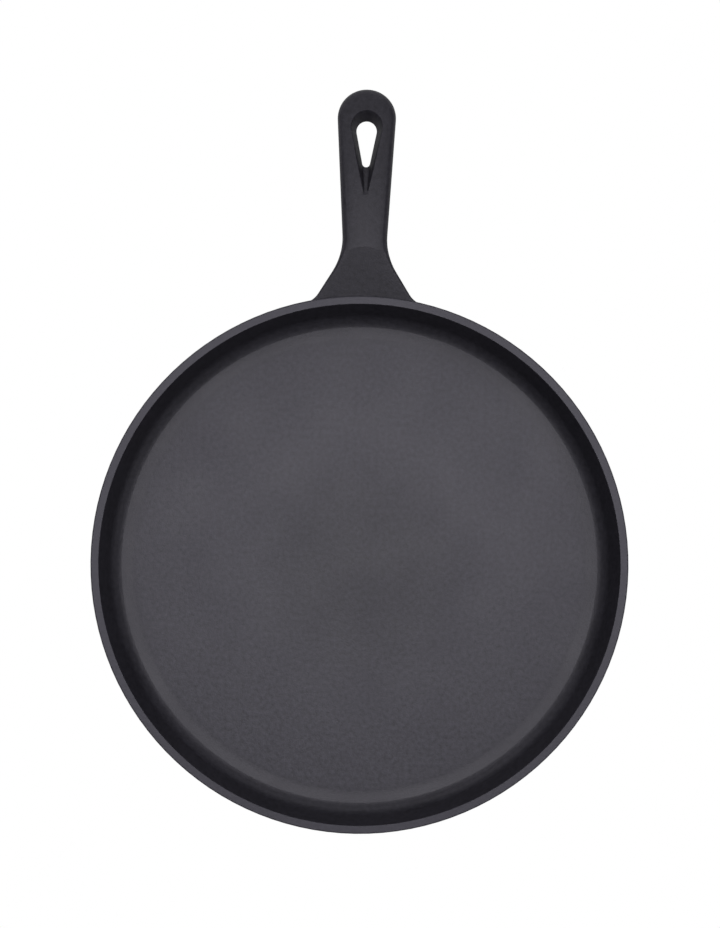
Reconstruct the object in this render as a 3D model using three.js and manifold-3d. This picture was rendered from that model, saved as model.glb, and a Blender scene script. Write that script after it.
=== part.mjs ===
// Round cast iron pizza pan with one handle, cast in a single piece.
// Millimetres. +Z is up, the base rests on z = 0 with its centre on the Z axis, and the handle
// reaches out along +Y.
import * as THREE from "three";
import { mergeVertices } from "three/addons/utils/BufferGeometryUtils.js";
import Module from "manifold-3d";

// Driving dimensions of the dish
const rimDiameter = 305; // across the outside of the rim
const panHeight = 25; // table to the flat top of the rim
const floorThickness = 4.8;
const rimWidth = 4.6; // the wall's thickness, seen as the flat ring on top
const wallLean = degrees(17.5); // of both wall faces, outwards from the vertical
const easeRadius = 33; // inside, where the floor begins to rise
const easeAngle = degrees(12.5); // the rise that it reaches
const coveRadius = 8.5; // from there up into the wall
const heelRadius = 12; // outside, where the base turns up into the wall
const rimOuterRound = 0.8;
const rimInnerRound = 0.6;

// Driving dimensions of the handle, seen from above
const handleReach = 117.2; // rim to tip
const headWidth = 33.1; // the round end
const neckWidth = 25.3; // the narrowest place
const neckReach = 31.7; // rim to the narrowest place
const neckRadius = 34; // the hollow curve from the grip's side into the flare
const flareAngle = degrees(32.7); // of the root's sides, from the handle's axis
const rootFillet = 11; // in the corner between the root's side and the wall

// Driving dimensions of the handle, seen from the side
const rootStep = 0.6; // the rim's rounded edge stands this far above the foot of the root
const rampAngle = degrees(16); // the root climbs from the rim to the grip
const creaseReach = 26.6; // rim to the crease where the ramp meets the crowned grip
const crownRadius = 80; // of the grip's top, across the handle
const archRadius = 900; // of the grip, along the handle: it droops towards the tip
const gripThickness = 11; // at the crease
const tipThickness = 9.6; // at the tip
const rootDepth = 9.5; // rim top down to the root's underside, at the rim
const rootBlend = 12; // half the length over which the two undersides blend
const wallFillet = 7; // under the root, into the wall
const gripRound = 3.5; // top edges of the grip
const rootRound = 1.6; // top edges of the root
const underRound = 2.6; // bottom edges
const sideLean = degrees(7); // draft of the handle's sides, narrower below
const reliefDepth = 2; // the hollow along the underside
const reliefShare = 0.66; // of the handle's half width at each place
const reliefStart = 14; // rim to the hollow's near end
const reliefEnd = 68; // rim to its far end
const reliefFade = 14; // the length over which each end runs out

// Driving dimensions of the hanging hole, a teardrop that points at the pan
const holeFromTip = 23.3; // tip to the centre of the teardrop's round end
const holeRadius = 5.75; // where the hole is narrowest, near the underside
const holeTail = 20.5; // from that centre to the pointed end, at the narrowest level
const holeTailRound = 2.2;
const mouthFromTip = 22.2; // the same four sizes at the top face
const mouthRadius = 8.95;
const mouthTail = 38.4;
const mouthTailRound = 0.9;
const mouthRound = 0.35; // how much the mouth's rounded edge opens past that outline
const narrowLevel = 0.14; // share of the thickness, from the underside
const underFlare = 0.9; // how much the hole widens to the underside

// Fineness
const turns = 120; // facets round the dish
const arcStep = degrees(10); // of the profile's arcs
const bite = 0.2; // how far a fillet sinks into what it meets, so that faces cross at an angle
const creaseFade = 20; // along the handle, the length over which rows of points bow with the crease
const clear = 6; // how far a cutter runs past the face that it cuts

const iron = new THREE.MeshStandardMaterial({ color: 0x47464b, roughness: 0.55, metalness: 0.25 });

// Worked out from the above
const rimRadius = rimDiameter / 2;
const innerRadius = rimRadius - rimWidth;
const tipY = rimRadius + handleReach;
const headRadius = headWidth / 2;
const headY = tipY - headRadius;
const neckHalf = neckWidth / 2;
const neckY = rimRadius + neckReach;
const lipPoint = rimRadius + rimOuterRound * (1 / Math.tan((Math.PI / 2 - wallLean) / 2) - 1);
const creaseR = rimRadius + creaseReach;
const creaseZ = rampAt(creaseR);
const holeY = tipY - holeFromTip;
const mouthY = tipY - mouthFromTip;

function degrees(angle) {
  return THREE.MathUtils.degToRad(angle);
}

// Height of the root's top face at a distance from the pan's axis.
function rampAt(r) {
  return panHeight - rootStep + (r - rimRadius) * Math.tan(rampAngle);
}

// 0 below `from`, 1 above `to`, and a smooth step between.
function smooth(value, from, to) {
  return THREE.MathUtils.smoothstep(value, from, to);
}

// 0 well below zero, the value itself well above it, and a parabola over plus and minus `blend`.
function easedRamp(value, blend) {
  if (value < -blend) return 0;
  if (value > blend) return value;
  return (value + blend) ** 2 / (4 * blend);
}

// A corner list [x, y, radius] as points, each corner rounded by an arc of its radius.
function roundedCorners(corners) {
  const points = [];
  corners.forEach(([x, y, radius = 0], i) => {
    const corner = new THREE.Vector2(x, y);
    if (!radius) {
      points.push(corner);
      return;
    }
    const back = new THREE.Vector2(...corners[i - 1]).sub(corner).normalize();
    const ahead = new THREE.Vector2(...corners[i + 1]).sub(corner).normalize();
    const half = Math.acos(back.dot(ahead)) / 2;
    const bisector = back.clone().add(ahead).normalize();
    const centre = corner.clone().addScaledVector(bisector, radius / Math.sin(half));
    const from = corner.clone().addScaledVector(back, radius / Math.tan(half)).sub(centre);
    const to = corner.clone().addScaledVector(ahead, radius / Math.tan(half)).sub(centre);
    const sweep = Math.atan2(from.cross(to), from.dot(to));
    const steps = Math.ceil(Math.abs(sweep) / arcStep);
    for (let k = 0; k <= steps; k++) {
      const turned = from.clone().rotateAround(new THREE.Vector2(), (sweep * k) / steps);
      points.push(turned.add(centre));
    }
  });
  return points;
}

// The solid that a profile of (radius, height) points sweeps round the Z axis.
function revolved(corners) {
  const geometry = new THREE.LatheGeometry(roundedCorners(corners), turns);
  return toSolid(geometry.rotateX(Math.PI / 2));
}

// The solid through closed rings of points, all with the same count, capped at both ends.
function lofted(rings) {
  const count = rings[0].length;
  const points = rings.flat();
  const faces = [];
  for (let i = 0; i + 1 < rings.length; i++) {
    for (let j = 0; j < count; j++) {
      const a = i * count + j;
      const b = i * count + ((j + 1) % count);
      faces.push(a, b, b + count, a, b + count, a + count);
    }
  }
  const middle = (ring) =>
    ring.reduce((sum, p) => sum.add(p), new THREE.Vector3()).divideScalar(count);
  const last = (rings.length - 1) * count;
  const first = points.push(middle(rings[0])) - 1;
  const end = points.push(middle(rings[rings.length - 1])) - 1;
  for (let j = 0; j < count; j++) {
    const next = (j + 1) % count;
    faces.push(first, next, j, end, last + j, last + next);
  }
  return toSolid(new THREE.BufferGeometry().setFromPoints(points).setIndex(faces));
}

// The teardrop's outline about its round end's centre: round towards +y, pointed towards -y.
function teardrop(radius, tail, tailRound) {
  const tailY = -(tail - tailRound);
  const tangent = Math.asin((radius - tailRound) / (tail - tailRound));
  const shape = new THREE.Path();
  shape.absarc(0, 0, radius, -tangent, Math.PI + tangent, false);
  shape.absarc(0, tailY, tailRound, Math.PI + tangent, 2 * Math.PI - tangent, false);
  return shape.getPoints(14);
}

const wasm = await Module();
wasm.setup();

function toSolid(geometry) {
  geometry.deleteAttribute("normal");
  geometry.deleteAttribute("uv");
  const merged = mergeVertices(geometry, 1e-4);
  const mesh = { numProp: 3, vertProperties: merged.attributes.position.array };
  return new wasm.Manifold(new wasm.Mesh({ ...mesh, triVerts: new Uint32Array(merged.index.array) }));
}

function toGeometry(solid) {
  const mesh = solid.getMesh();
  const geometry = new THREE.BufferGeometry();
  geometry.setAttribute("position", new THREE.BufferAttribute(mesh.vertProperties, 3));
  geometry.setIndex(new THREE.BufferAttribute(mesh.triVerts, 1));
  geometry.computeVertexNormals();
  return geometry;
}

// The dish before it is hollowed: flat base, round heel, leaning wall, flat top.
function dishBlank() {
  const heel = lipPoint - panHeight * Math.tan(wallLean);
  return revolved([
    [0, 0],
    [heel, 0, heelRadius],
    [lipPoint, panHeight, rimOuterRound],
    [0, panHeight],
  ]);
}

// What the dish holds: flat floor, a slow rise and a tighter cove, and the leaning wall. Past the
// rim's inner edge it opens upwards at a low angle, so that the edge is rounded and the flat rim is
// left alone.
function dishCavity() {
  const wallTurn = Math.PI / 2 - wallLean - easeAngle;
  const easeTangent = easeRadius * Math.tan(easeAngle / 2);
  const coveTangent = coveRadius * Math.tan(wallTurn / 2);
  const rise = 1.05 * (easeTangent + coveTangent);
  const turnZ = floorThickness + rise * Math.sin(easeAngle);
  const turnR = innerRadius - (panHeight - turnZ) * Math.tan(wallLean);
  const lift = rimWidth * Math.tan(degrees(15));
  return revolved([
    [0, floorThickness],
    [turnR - rise * Math.cos(easeAngle), floorThickness, easeRadius],
    [turnR, turnZ, coveRadius],
    [innerRadius, panHeight, rimInnerRound],
    [rimRadius, panHeight + lift],
    [rimRadius, panHeight + clear],
    [0, panHeight + clear],
  ]);
}

// Droop of the grip at a distance from the pan's centre, below its height at the crease.
function droop(r) {
  return Math.max(0, r - creaseR) ** 2 / (2 * archRadius);
}

// The handle's top face: a ramp out of the rim, up to a grip that is crowned across and arched
// along. Its round end is crowned all round.
function topAt(x, y) {
  const r = Math.hypot(x, y);
  const fromSpine = Math.hypot(x, Math.max(0, y - headY));
  const grip = creaseZ - droop(r) - fromSpine ** 2 / (2 * crownRadius);
  return Math.min(rampAt(r), grip);
}

// The slope of the root's underside, from the rim up to the grip's underside at the crease.
const underSlope = (creaseZ - gripThickness - (panHeight - rootDepth)) / (creaseR - rimRadius);

// The fillet under the root, in the plane of radius and height: a circle that touches the underside
// and a wall face set in by the bite.
function wallFilletCircle() {
  const under = Math.atan(underSlope);
  const wallOut = [Math.cos(wallLean), -Math.sin(wallLean)];
  const underOut = [Math.sin(under), -Math.cos(under)];
  const reach = (out, r, z) => out[0] * r + out[1] * z + wallFillet;
  const a = reach(wallOut, lipPoint, panHeight) - bite;
  const b = reach(underOut, rimRadius, panHeight - rootDepth);
  const across = wallOut[0] * underOut[1] - wallOut[1] * underOut[0];
  const r = (a * underOut[1] - b * wallOut[1]) / across;
  const z = (wallOut[0] * b - underOut[0] * a) / across;
  return {
    r,
    z,
    wallR: r - wallFillet * wallOut[0],
    underR: r - wallFillet * underOut[0],
  };
}

const fillet = wallFilletCircle();

// The handle's underside, with the hollow that runs along it.
function bottomAt(x, y, halfWidth) {
  const r = Math.hypot(x, y);
  if (r < fillet.underR) {
    const inside = Math.max(r, fillet.wallR) - fillet.r;
    return fillet.z + Math.sqrt(wallFillet ** 2 - inside ** 2);
  }
  const along = THREE.MathUtils.clamp((r - creaseR) / (tipY - creaseR), 0, 1);
  const thickness = gripThickness + (tipThickness - gripThickness) * along;
  const level = creaseZ - droop(r) - thickness;
  const fall = underSlope * easedRamp(creaseR - r, rootBlend);
  const near = smooth(r, rimRadius + reliefStart, rimRadius + reliefStart + reliefFade);
  const far = 1 - smooth(r, rimRadius + reliefEnd - reliefFade, rimRadius + reliefEnd);
  const across = Math.min(1, Math.abs(x) / (reliefShare * halfWidth));
  return level - fall + reliefDepth * near * far * (1 - across ** 2) ** 2;
}

// Where the ramp meets the grip at a distance x from the axis.
function creaseY(x) {
  let low = rimRadius;
  let high = creaseR;
  for (let i = 0; i < 40; i++) {
    const y = (low + high) / 2;
    if (rampAt(Math.hypot(x, y)) < creaseZ - x ** 2 / (2 * crownRadius)) low = y;
    else high = y;
  }
  return (low + high) / 2;
}

// The right-hand side of the handle from above, tip first, as points with their outward normals:
// round head, tapered grip, hollow neck, straight flare, fillet into the rim, and on into the dish.
function outline() {
  const stations = [];
  const add = (x, y, angle) => stations.push({ x, y, nx: Math.cos(angle), ny: Math.sin(angle) });
  const arc = (cx, cy, radius, from, to, steps) => {
    for (let k = 0; k <= steps; k++) {
      const angle = from + ((to - from) * k) / steps;
      add(cx + radius * Math.cos(angle), cy + radius * Math.sin(angle), angle);
    }
  };
  // Hollow arcs turn about a centre outside the handle, so the outward normal points at it.
  const hollow = (cx, cy, radius, from, to, steps) => {
    for (let k = 0; k <= steps; k++) {
      const angle = from + ((to - from) * k) / steps;
      add(cx - radius * Math.cos(angle), cy - radius * Math.sin(angle), angle);
    }
  };
  const line = (to, steps) => {
    const from = stations[stations.length - 1];
    for (let k = 1; k < steps; k++) {
      const share = k / steps;
      stations.push({
        x: from.x + (to.x - from.x) * share,
        y: from.y + (to.y - from.y) * share,
        nx: from.nx,
        ny: from.ny,
      });
    }
  };

  const neckX = neckHalf + neckRadius;
  const apart = Math.hypot(neckX, headY - neckY);
  const taper = Math.asin((neckRadius + headRadius) / apart) - Math.atan2(neckX, headY - neckY);
  arc(0, headY, headRadius, Math.PI / 2, -taper, 16);
  const gripEnd = {
    x: neckX - neckRadius * Math.cos(taper),
    y: neckY + neckRadius * Math.sin(taper),
  };
  line(gripEnd, 12);

  // One station of the neck stands where the crease reaches the handle's side.
  const edge = creaseY(neckHalf);
  const creaseTurn = Math.asin(THREE.MathUtils.clamp((neckY - edge) / neckRadius, 0, 1));
  const creaseAngle = THREE.MathUtils.clamp(creaseTurn, 0.1, flareAngle - 0.1);
  hollow(neckX, neckY, neckRadius, -taper, creaseAngle, 5);
  stations[stations.length - 1].onCrease = true;
  const repeated = stations.length;
  hollow(neckX, neckY, neckRadius, creaseAngle, flareAngle, 4);
  stations.splice(repeated, 1);

  // The root's fillet touches the flare and a circle just inside the wall, at the level of the
  // root's foot. From there on down, the side takes up the wall's lean.
  const start = stations[stations.length - 1];
  const along = new THREE.Vector2(Math.sin(flareAngle), -Math.cos(flareAngle));
  const base = new THREE.Vector2(start.x + rootFillet * start.nx, start.y + rootFillet * start.ny);
  const wallRadius = lipPoint - rootStep * Math.tan(wallLean);
  const reach = wallRadius - bite + rootFillet;
  const b = base.dot(along);
  const flareLength = -b - Math.sqrt(b ** 2 - base.lengthSq() + reach ** 2);
  const centre = base.clone().addScaledVector(along, flareLength);
  const flareEnd = { x: start.x + along.x * flareLength, y: start.y + along.y * flareLength };
  line(flareEnd, 4);
  const flared = stations.length;
  hollow(centre.x, centre.y, rootFillet, flareAngle, centre.angle(), 5);
  stations.slice(flared).forEach((station, k, all) => {
    station.walled = k / (all.length - 1);
  });
  const last = stations[stations.length - 1];
  stations.push({ ...last, x: last.x - last.nx * rootDepth, y: last.y - last.ny * rootDepth });
  return stations;
}

// One closed ring of the handle at a station: over the top from right to left, and back below.
function handleRing(station, crease) {
  const { x: edgeX, y: edgeY, nx, ny, walled = 0 } = station;
  const rounding = gripRound + (rootRound - gripRound) * (1 - smooth(edgeY, rimRadius, neckY));
  const slope = Math.tan(sideLean + (wallLean - sideLean) * walled);
  const leanAt = (depth) => (depth - rounding * (1 - walled)) * slope;

  // The side leans in as it goes down, and its depth is the underside's where the lean ends.
  let height = topAt(edgeX, edgeY) - bottomAt(edgeX, edgeY, edgeX);
  for (let i = 0; i < 8; i++) {
    const foot = leanAt(height);
    height = topAt(edgeX, edgeY) - bottomAt(edgeX - foot * nx, edgeY - foot * ny, edgeX);
  }
  const creased = 1 - Math.min(1, Math.abs(edgeY - crease.y) / crease.fade);
  const rimmed = 1 - smooth(edgeY, rimRadius, crease.y);

  // A plan point at a distance in from the handle's edge. Rows near the crease bow with it, and
  // rows near the rim bow with the rim.
  const plan = (inset, side, share) => {
    const x = Math.max(0, edgeX - inset * nx) * share;
    const creaseBow = creaseY(x) - creaseY(edgeX);
    const rimBow = Math.sqrt(edgeX ** 2 + edgeY ** 2 - x ** 2) - edgeY;
    const bow = creaseBow * creased * (1 - rimmed) + rimBow * rimmed;
    return [side * x, edgeY - inset * ny + bow];
  };
  const ring = [];
  const top = (inset, side, share, drop) => {
    const [x, y] = plan(inset + leanAt(drop), side, share);
    ring.push(new THREE.Vector3(x, y, topAt(x, y) - drop));
  };
  const bottom = (inset, side, share, rise) => {
    const [x, y] = plan(inset + leanAt(height - rise), side, share);
    ring.push(new THREE.Vector3(x, y, bottomAt(x, y, edgeX) + rise));
  };
  const overSteps = 4;
  const topSpans = 8;
  const underSteps = 3;
  const bottomSpans = 10;
  const quarter = (k, steps) => ((k / steps) * Math.PI) / 2;
  for (let k = 0; k < overSteps; k++) {
    const turn = quarter(k, overSteps);
    top(rounding * (1 - Math.cos(turn)), 1, 1, rounding * (1 - Math.sin(turn)));
  }
  for (let k = 0; k <= topSpans; k++) {
    const share = 1 - (2 * k) / topSpans;
    top(rounding, Math.sign(share) || 1, Math.abs(share), 0);
  }
  for (let k = overSteps - 1; k >= 0; k--) {
    const turn = quarter(k, overSteps);
    top(rounding * (1 - Math.cos(turn)), -1, 1, rounding * (1 - Math.sin(turn)));
  }
  for (let k = 0; k < underSteps; k++) {
    const turn = quarter(k, underSteps);
    bottom(underRound * (1 - Math.cos(turn)), -1, 1, underRound * (1 - Math.sin(turn)));
  }
  for (let k = 0; k <= bottomSpans; k++) {
    const share = (2 * k) / bottomSpans - 1;
    bottom(underRound, Math.sign(share) || 1, Math.abs(share), 0);
  }
  for (let k = underSteps - 1; k >= 0; k--) {
    const turn = quarter(k, underSteps);
    bottom(underRound * (1 - Math.cos(turn)), 1, 1, underRound * (1 - Math.sin(turn)));
  }
  return ring;
}

function handle() {
  const stations = outline();
  const crease = { y: stations.find((s) => s.onCrease).y, fade: creaseFade };
  return lofted(stations.map((station) => handleRing(station, crease)));
}

// The hanging hole's cutter. Its rings follow the handle's two faces, so the mouth keeps its size
// on a handle that droops. Levels are shares of the thickness, and the cutter runs past both faces.
function hangingHole() {
  const ring = (level, extra) => {
    const share = Math.max(0, (level - narrowLevel) / (1 - narrowLevel));
    const mix = (narrow, mouth) => narrow + (mouth - narrow) * share;
    const outlinePoints = teardrop(
      mix(holeRadius, mouthRadius) + extra,
      mix(holeTail, mouthTail) + extra,
      mix(holeTailRound, mouthTailRound) + extra,
    );
    return outlinePoints.map((p) => {
      const y = mix(holeY, mouthY) + p.y;
      const low = bottomAt(0, y, headRadius);
      return new THREE.Vector3(p.x, y, low + level * (topAt(0, y) - low));
    });
  };
  return lofted([
    ring(-0.5, underFlare),
    ring(0, underFlare),
    ring(narrowLevel, 0),
    ring(0.88, 0),
    ring(0.97, mouthRound),
    ring(1.2, 4 * mouthRound),
  ]);
}

function panCasting() {
  const body = dishBlank().add(handle()).subtract(dishCavity()).subtract(hangingHole());
  const mesh = new THREE.Mesh(toGeometry(body), iron);
  mesh.name = "pan_casting";
  return mesh;
}

const pan = new THREE.Group();
pan.add(panCasting());

export default pan;
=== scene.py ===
from math import radians

import bmesh
import bpy
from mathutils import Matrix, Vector


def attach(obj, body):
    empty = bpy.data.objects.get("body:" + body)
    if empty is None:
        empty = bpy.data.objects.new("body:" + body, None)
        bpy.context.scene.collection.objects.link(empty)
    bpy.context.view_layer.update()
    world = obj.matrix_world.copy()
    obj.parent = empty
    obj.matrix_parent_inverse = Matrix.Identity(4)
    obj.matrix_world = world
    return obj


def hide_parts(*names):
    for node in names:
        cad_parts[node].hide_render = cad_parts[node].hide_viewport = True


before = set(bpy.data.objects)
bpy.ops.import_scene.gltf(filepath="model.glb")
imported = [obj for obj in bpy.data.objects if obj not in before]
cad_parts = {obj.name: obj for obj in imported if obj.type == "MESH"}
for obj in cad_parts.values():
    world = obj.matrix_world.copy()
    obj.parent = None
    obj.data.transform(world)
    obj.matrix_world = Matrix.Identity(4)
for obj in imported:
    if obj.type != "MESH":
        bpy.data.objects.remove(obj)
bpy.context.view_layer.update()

# Sizes of the pan, in metres
RIM_RADIUS = 0.1525
RIM_INSIDE = 0.1479
PAN_HEIGHT = 0.025

# The crease across the handle, where the root's ramp meets the grip
CREASE_FROM, CREASE_TO = 0.170, 0.181  # from the pan's axis
CREASE_LEAST = radians(8)
FACING_UP = 0.85  # the least height of a unit normal on the handle's top

# The mesh
SAME_POINT = 0.000001
SMOOTH_UP_TO = radians(35)

# The photograph: straight down on the pan, turned a little, with the handle at the top
PICTURE_W, PICTURE_H = 720, 928
METRES_PER_PIXEL = 0.0005664  # at the level of the rim
PAN_CENTRE_PIXEL = (359.45, 564.91)
CAMERA_TURN = radians(0.95)
CAMERA_HEIGHT = 1.075  # above the rim
CAMERA_SENSOR = 36.0  # millimetres, along the picture's longer side
CAMERA_SEES = (0.05, 20.0)  # the nearest and the farthest

# Softboxes: place, the point that each faces, size and power
OVERHEAD_SOFTBOX = ((0.02, 0.10, 1.6), (0.02, 0.05, 0), (1.0, 0.35), 18.8)
FILL_SOFTBOX = ((-0.3, 1.45, 0.75), (0, 0, 0), (2.8, 0.9), 10.5)  # low beyond the handle, and wide
SIDE_SOFTBOX = ((1.45, -0.55, 0.6), (0, 0, 0), (1.4, 0.8), 3.0)  # low and weak, on the right

# The studio round the softboxes
CEILING = 0.17  # how bright its dim ceiling is, where the backdrop is 1
BACKDROP_TOP = (0.02, 0.12)  # the height of a unit way between which the backdrop ends
WHITE = (1.0, 1.0, 1.0, 1.0)

# The floor
FLOOR_SIZE = 6.0
FLOOR_BELOW = 0.0005  # clear of the pan's base, so that the two faces don't meet
FLOOR_PAPER = (0.85, 0.85, 0.85, 1.0)
CONTACT_SHADOW_REACH = 0.03  # how far the painted contact shadow reaches from the pan
CONTACT_SHADOW_EDGE = (0.0, 0.3)  # the share of open sky between which it ends
SHADE_REACH = 0.1  # how far the pan shades the floor that it reflects
SHADE_POWER = 3.0  # how steeply

# Grain of the iron, each a noise: scale, detail and roughness
SAND = (1500.0, 3.0, 0.62)
PEBBLES = (400.0, 2.0, 0.55)
CLOUDS = (26.0, 3.0, 0.5)
SAND_HEIGHT = 0.00006
PEBBLE_HEIGHT = 0.00006

# Parts of the pan, each by the radii or heights between which it fades
DISH_END = (RIM_INSIDE - 0.0009, RIM_INSIDE + 0.0001)
# The flat top of the rim, painted lighter as a painted highlight
PAINTED_RIM_HIGHLIGHT_START = (RIM_INSIDE - 0.0003, RIM_INSIDE + 0.0003)
PAINTED_RIM_HIGHLIGHT_END = (RIM_RADIUS - 0.0008, RIM_RADIUS - 0.0001)
PAINTED_RIM_HIGHLIGHT_ABOVE = (PAN_HEIGHT - 0.0006, PAN_HEIGHT - 0.0001)
FLAT_END = (0.126, 0.134)
# The floor away from its middle, painted lighter as painted light, its middle left darker
PAINTED_FLOOR_LIGHT_START = (0.02, 0.08)

# Colour of the iron. Each tone is a share of it that is added
IRON_COLOUR = (0.0155, 0.0147, 0.0190)
IRON_SHEEN = (0.935, 0.910, 1.0, 1.0)  # the colour of its highlights
SAND_TONE = 0.6
CLOUD_TONE = 0.4
MOTTLE_TONE = 1.2
FLAT_MOTTLE_TONE = 1.8  # more of it on the flat floor
# Painted light on the floor away from its middle
PAINTED_FLOOR_LIGHT_TONE = 0.6
# A painted highlight on the flat top of the rim
PAINTED_RIM_HIGHLIGHT_TONE = 1.15

# Gloss of the iron
IRON_SPECULAR = 0.25
IRON_ROUGHNESS = 0.46
PEBBLE_ROUGHNESS = 0.05
CLOUD_ROUGHNESS = 0.10
DISH_SMOOTHNESS = 0.02


class Value:
    """A shader socket that takes part in Python sums, each of which adds its Math node."""

    def __init__(self, shader, socket):
        self.shader = shader
        self.socket = socket

    def math(self, operation, first, second):
        return self.shader.node("ShaderNodeMath", {"operation": operation}, {0: first, 1: second})

    def __add__(self, other):
        return self.math("ADD", self, other)

    def __radd__(self, other):
        return self.math("ADD", other, self)

    def __sub__(self, other):
        return self.math("SUBTRACT", self, other)

    def __rsub__(self, other):
        return self.math("SUBTRACT", other, self)

    def __mul__(self, other):
        return self.math("MULTIPLY", self, other)

    def __rmul__(self, other):
        return self.math("MULTIPLY", other, self)

    def __pow__(self, other):
        return self.math("POWER", self, other)

    def or_more(self, other):
        return self.math("MAXIMUM", self, other)

    def step(self, low, high):
        """0 below low, 1 above high and a smooth step in between."""
        return self.shader.node(
            "ShaderNodeMapRange",
            {"interpolation_type": "SMOOTHSTEP"},
            {"Value": self, "From Min": low, "From Max": high},
        )


class Shader:
    """The node tree of a material or a world, emptied, to be filled by node()."""

    def __init__(self, owner):
        owner.use_nodes = True
        self.tree = owner.node_tree
        self.tree.nodes.clear()

    def node(self, kind, settings=None, sockets=None, out=0):
        """A new node. Its settings are set first, then its sockets get their values or links."""
        made = self.tree.nodes.new(kind)
        for name, value in (settings or {}).items():
            setattr(made, name, value)
        for name, value in (sockets or {}).items():
            if isinstance(value, Value):
                self.tree.links.new(value.socket, made.inputs[name])
            else:
                made.inputs[name].default_value = value
        return Value(self, made.outputs[out]) if made.outputs else None


def new_material(name):
    material = bpy.data.materials.new(name)
    return material, Shader(material)


def camera():
    data = bpy.data.cameras.new("camera")
    data.sensor_width = CAMERA_SENSOR
    data.lens = CAMERA_SENSOR * CAMERA_HEIGHT / (PICTURE_H * METRES_PER_PIXEL)
    data.clip_start, data.clip_end = CAMERA_SEES
    data.shift_x = (PICTURE_W / 2 - PAN_CENTRE_PIXEL[0]) / PICTURE_H
    data.shift_y = (PAN_CENTRE_PIXEL[1] - PICTURE_H / 2) / PICTURE_H
    seen_from = bpy.data.objects.new("camera", data)
    seen_from.location = (0, 0, PAN_HEIGHT + CAMERA_HEIGHT)
    seen_from.rotation_euler = (0, 0, CAMERA_TURN)
    bpy.context.scene.collection.objects.link(seen_from)
    bpy.context.scene.camera = seen_from


def cast_iron():
    """Seasoned iron: nearly black, satin, with the grain that the sand mould leaves.

    The skin has a sand grain under 1 mm and pebbles of 2 to 4 mm, both barely raised. They also
    mottle its colour, most on the flat floor, and clouds lie where the seasoning is thicker. The
    floor is painted a little lighter away from its middle, which is painted light, and the flat
    top of the rim is painted lighter still, which is a painted highlight.
    """
    material, s = new_material("seasoned_iron")
    place = s.node("ShaderNodeTexCoord", out="Object")
    x, y, z = (s.node("ShaderNodeSeparateXYZ", {}, {0: place}, axis) for axis in "XYZ")
    radius = (x * x + y * y) ** 0.5

    def noise(scale, detail, roughness):
        sockets = {"Vector": place, "Scale": scale, "Detail": detail, "Roughness": roughness}
        return s.node("ShaderNodeTexNoise", {}, sockets)

    sand = noise(*SAND)
    pebbles = noise(*PEBBLES)
    clouds = noise(*CLOUDS)
    dish = 1 - radius.step(*DISH_END)
    # The flat top of the rim, to be painted lighter: a painted highlight
    painted_rim_highlight = radius.step(*PAINTED_RIM_HIGHLIGHT_START) * (1 - radius.step(*PAINTED_RIM_HIGHLIGHT_END)) * z.step(*PAINTED_RIM_HIGHLIGHT_ABOVE)
    flat_floor = 1 - radius.step(*FLAT_END)
    # The floor away from its middle, to be painted lighter: painted light
    painted_floor_light = radius.step(*PAINTED_FLOOR_LIGHT_START) * flat_floor

    mottle = (pebbles - 0.5) * (MOTTLE_TONE + flat_floor * FLAT_MOTTLE_TONE)
    grain = (sand - 0.5) * SAND_TONE + mottle + (clouds - 0.5) * CLOUD_TONE
    # The tone adds to the grain the painted light on the floor and the painted highlight on the rim
    tone = 1 + grain + painted_floor_light * PAINTED_FLOOR_LIGHT_TONE + painted_rim_highlight * PAINTED_RIM_HIGHLIGHT_TONE
    colour = s.node("ShaderNodeVectorMath", {"operation": "SCALE"}, {0: IRON_COLOUR, "Scale": tone})
    unevenness = (pebbles - 0.5) * PEBBLE_ROUGHNESS + (clouds - 0.5) * CLOUD_ROUGHNESS
    height = sand * SAND_HEIGHT + pebbles * PEBBLE_HEIGHT
    bump = s.node("ShaderNodeBump", {}, {"Height": height, "Strength": 1.0, "Distance": 1.0})
    surface = s.node(
        "ShaderNodeBsdfPrincipled",
        {},
        {
            "Base Color": colour,
            "Roughness": IRON_ROUGHNESS + unevenness - dish * DISH_SMOOTHNESS,
            "Specular IOR Level": IRON_SPECULAR,
            "Specular Tint": IRON_SHEEN,
            "Normal": bump,
        },
    )
    s.node("ShaderNodeOutputMaterial", {}, {"Surface": surface})
    return material


def ray_is(s, kind):
    """1 on rays of a kind, such as Camera or Glossy, and 0 on the others."""
    return s.node("ShaderNodeLightPath", {}, {}, f"Is {kind} Ray")


def seen_as_background(s):
    """1 on rays from the camera and on rays that metal or glass sends on, and 0 on other rays."""
    return ray_is(s, "Camera").or_more(ray_is(s, "Glossy")).or_more(ray_is(s, "Transmission"))


def floor():
    """A plain pale floor. It is white as a background, with a painted contact shadow under the pan.

    The pan's own reflections of it are shaded further out, where the pan keeps the light away.
    """
    material, s = new_material("white_floor")
    paper = s.node("ShaderNodeBsdfDiffuse", {}, {"Color": FLOOR_PAPER})

    def open_sky(distance):
        return s.node("ShaderNodeAmbientOcclusion", {"samples": 8}, {"Distance": distance}, "AO")

    seen = ray_is(s, "Camera")
    # A painted contact shadow: the floor's glow, as the camera sees it, darkened where the pan is
    # near
    painted_contact_shadow = open_sky(CONTACT_SHADOW_REACH).step(*CONTACT_SHADOW_EDGE)
    strength = seen * painted_contact_shadow + (1 - seen) * open_sky(SHADE_REACH) ** SHADE_POWER
    glow = s.node("ShaderNodeEmission", {}, {"Strength": strength})
    mix = s.node("ShaderNodeMixShader", {}, {0: seen_as_background(s), 1: paper, 2: glow})
    s.node("ShaderNodeOutputMaterial", {}, {"Surface": mix})
    bpy.ops.mesh.primitive_plane_add(size=FLOOR_SIZE, location=(0, 0, -FLOOR_BELOW))
    plane = bpy.context.object
    plane.name = "floor"
    plane.data.materials.append(material)


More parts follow.
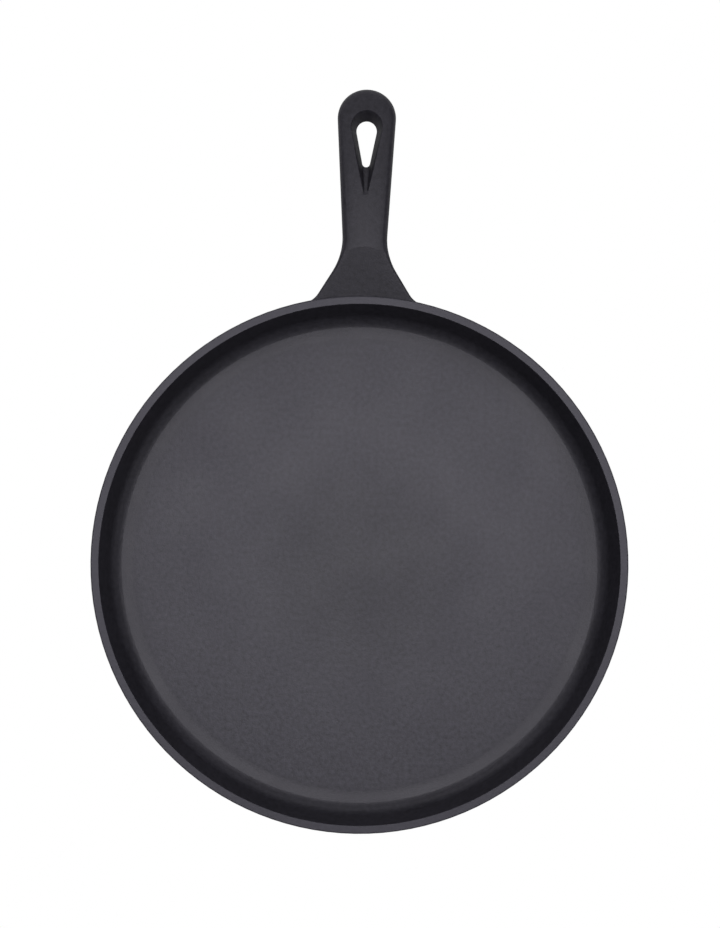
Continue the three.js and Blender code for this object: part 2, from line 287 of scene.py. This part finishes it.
def softbox(name, place, faces, size, power):
    data = bpy.data.lights.new(name, "AREA")
    data.shape = "RECTANGLE"
    data.size, data.size_y = size
    data.energy = power
    light = bpy.data.objects.new(name, data)
    light.location = place
    light.rotation_euler = (Vector(faces) - Vector(place)).to_track_quat("-Z", "Y").to_euler()
    bpy.context.scene.collection.objects.link(light)


def studio():
    """Three softboxes in a dim studio, whose backdrop is white where the camera sees it.

    Metal sees the backdrop as white too, but only low down, and the dim ceiling above it.
    """
    world = bpy.data.worlds.new("studio")
    bpy.context.scene.world = world
    s = Shader(world)
    way = s.node("ShaderNodeTexCoord", out="Generated")
    up = s.node("ShaderNodeSeparateXYZ", {}, {0: way}, "Z")
    backdrop = seen_as_background(s) * (1 - up.step(*BACKDROP_TOP)) * (1 - CEILING)
    strength = ray_is(s, "Camera").or_more(CEILING + backdrop)
    background = s.node("ShaderNodeBackground", {}, {"Color": WHITE, "Strength": strength})
    s.node("ShaderNodeOutputWorld", {}, {"Surface": background})
    softbox("overhead_softbox", *OVERHEAD_SOFTBOX)
    softbox("fill_softbox", *FILL_SOFTBOX)
    softbox("side_softbox", *SIDE_SOFTBOX)
    bpy.context.scene.view_settings.view_transform = "Standard"


def crosses_the_handle(edge):
    """Whether an edge of the mesh is part of the crease where the root's ramp meets the grip."""
    if len(edge.link_faces) != 2 or edge.calc_face_angle() < CREASE_LEAST:
        return False
    along = edge.verts[1].co - edge.verts[0].co
    middle = (edge.verts[0].co + edge.verts[1].co) / 2
    on_top = all(face.normal.z > FACING_UP for face in edge.link_faces)
    return on_top and CREASE_FROM < middle.y < CREASE_TO and abs(along.x) > abs(along.y)


def pan_casting(node, iron):
    """The casting with smooth faces, and with a crisp crease across the handle's root."""
    pan = bpy.data.objects.new("pan", node.data.copy())
    bpy.context.scene.collection.objects.link(pan)
    bpy.ops.object.select_all(action="DESELECT")
    bpy.context.view_layer.objects.active = pan
    pan.select_set(True)
    bpy.ops.object.mode_set(mode="EDIT")
    bpy.ops.mesh.select_mode(type="EDGE")
    bpy.ops.mesh.select_all(action="SELECT")
    bpy.ops.mesh.remove_doubles(threshold=SAME_POINT)
    bpy.ops.mesh.customdata_custom_splitnormals_clear()
    bpy.ops.mesh.select_all(action="DESELECT")
    mesh = bmesh.from_edit_mesh(pan.data)
    for edge in mesh.edges:
        edge.select_set(crosses_the_handle(edge))
    bmesh.update_edit_mesh(pan.data)
    bpy.ops.mesh.mark_sharp()
    bpy.ops.object.mode_set(mode="OBJECT")
    bpy.ops.object.shade_smooth_by_angle(angle=SMOOTH_UP_TO)
    flats = pan.modifiers.new("even_flats", "WEIGHTED_NORMAL")
    flats.keep_sharp = True
    bpy.ops.object.modifier_apply(modifier=flats.name)
    pan.data.materials.clear()
    pan.data.materials.append(iron)
    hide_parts("pan_casting")
    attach(pan, "root")


camera()
studio()
floor()
pan_casting(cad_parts["pan_casting"], cast_iron())
